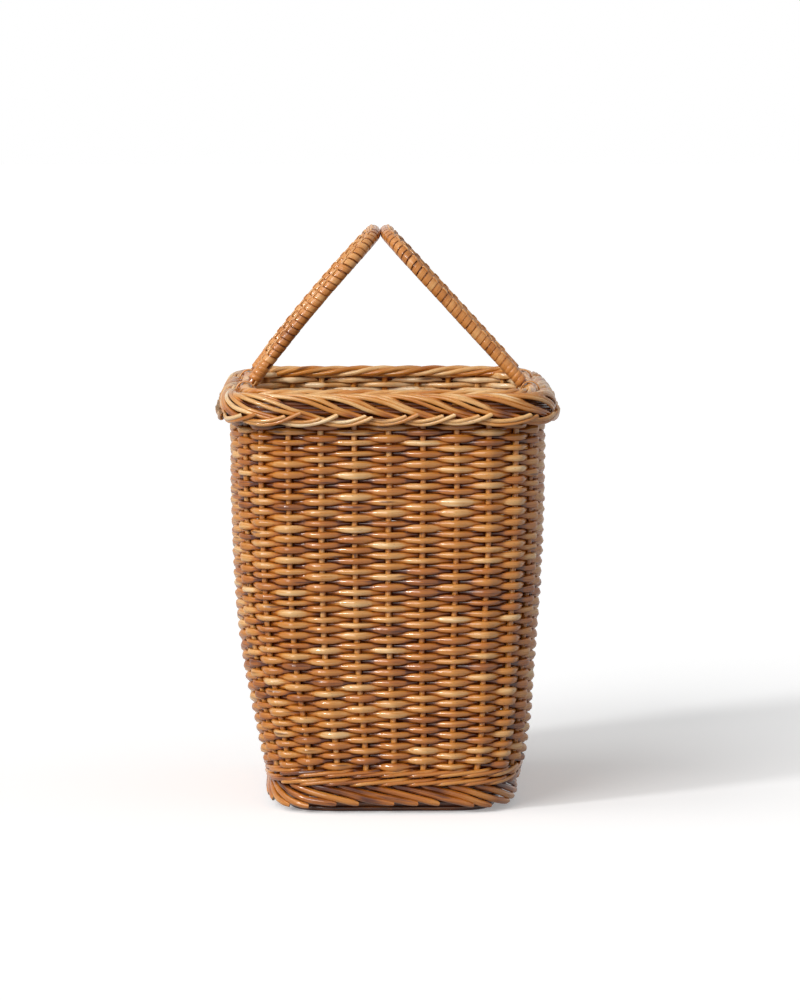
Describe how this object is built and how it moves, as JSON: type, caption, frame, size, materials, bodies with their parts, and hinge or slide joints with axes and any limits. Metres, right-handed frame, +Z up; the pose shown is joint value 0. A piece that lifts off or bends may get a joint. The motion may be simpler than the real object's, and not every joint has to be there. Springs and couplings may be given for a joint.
{
  "type": "picnic basket",
  "caption": "Open rectangular wicker picnic basket, flared woven wall on a foot border, plaited overhanging rim, and cane-wrapped swing handles that lean together.",
  "frame": {"origin": "on the floor under the middle of the basket", "axes": "+Z up, X across the width, Y along the length with the pictured short end facing -Y"},
  "size_m": [0.282, 0.374, 0.4729],
  "materials": {
    "willow_weave": "varnished buff willow",
    "willow_stakes": "varnished buff willow",
    "willow_border": "varnished buff willow, paler",
    "willow_foot": "varnished buff willow, darker",
    "handle_willow": "varnished willow rod",
    "handle_cane": "glossy flat cane"
  },
  "bodies": {
    "basket": {"foot_border": "willow_foot", "lower_wale": "willow_foot", "upper_wale": "willow_foot", "woven_base": "willow_weave", "base_stick_1": "willow_stakes", "base_stick_2": "willow_stakes", "base_stick_3": "willow_stakes", "stake_01": "willow_stakes", "stake_02": "willow_stakes", "stake_03": "willow_stakes", "stake_04": "willow_stakes", "stake_05": "willow_stakes", "stake_06": "willow_stakes", "stake_07": "willow_stakes", "stake_08": "willow_stakes", "stake_09": "willow_stakes", "stake_10": "willow_stakes", "stake_11": "willow_stakes", "stake_12": "willow_stakes", "stake_13": "willow_stakes", "stake_14": "willow_stakes", "stake_15": "willow_stakes", "stake_16": "willow_stakes", "stake_17": "willow_stakes", "stake_18": "willow_stakes", "stake_19": "willow_stakes", "stake_20": "willow_stakes", "stake_21": "willow_stakes", "stake_22": "willow_stakes", "stake_23": "willow_stakes", "stake_24": "willow_stakes", "stake_25": "willow_stakes", "stake_26": "willow_stakes", "stake_27": "willow_stakes", "stake_28": "willow_stakes", "stake_29": "willow_stakes", "stake_30": "willow_stakes", "stake_31": "willow_stakes", "stake_32": "willow_stakes", "stake_33": "willow_stakes", "stake_34": "willow_stakes", "stake_35": "willow_stakes", "stake_36": "willow_stakes", "stake_37": "willow_stakes", "stake_38": "willow_stakes", "stake_39": "willow_stakes", "stake_40": "willow_stakes", "wall_weave": "willow_weave", "rim_plait": "willow_border", "rim_roll": "willow_border"},
    "handle_left": {"handle_left_core": "handle_willow", "handle_left_wrap": "handle_cane", "handle_left_listing": "handle_cane", "handle_left_foot_binding_front": "handle_cane", "handle_left_foot_binding_back": "handle_cane"},
    "handle_right": {"handle_right_core": "handle_willow", "handle_right_wrap": "handle_cane", "handle_right_listing": "handle_cane", "handle_right_foot_binding_front": "handle_cane", "handle_right_foot_binding_back": "handle_cane"}
  },
  "joints": [
    {"name": "left_handle_swing", "type": "hinge", "parent": "basket", "child": "handle_left", "pos_m": [-0.11689, 0, 0.3406], "axis": [0, -1, 0], "range_deg": [0, 128]},
    {"name": "right_handle_swing", "type": "hinge", "parent": "basket", "child": "handle_right", "pos_m": [0.11689, 0, 0.3406], "axis": [0, 1, 0], "range_deg": [0, 132]}
  ]
}
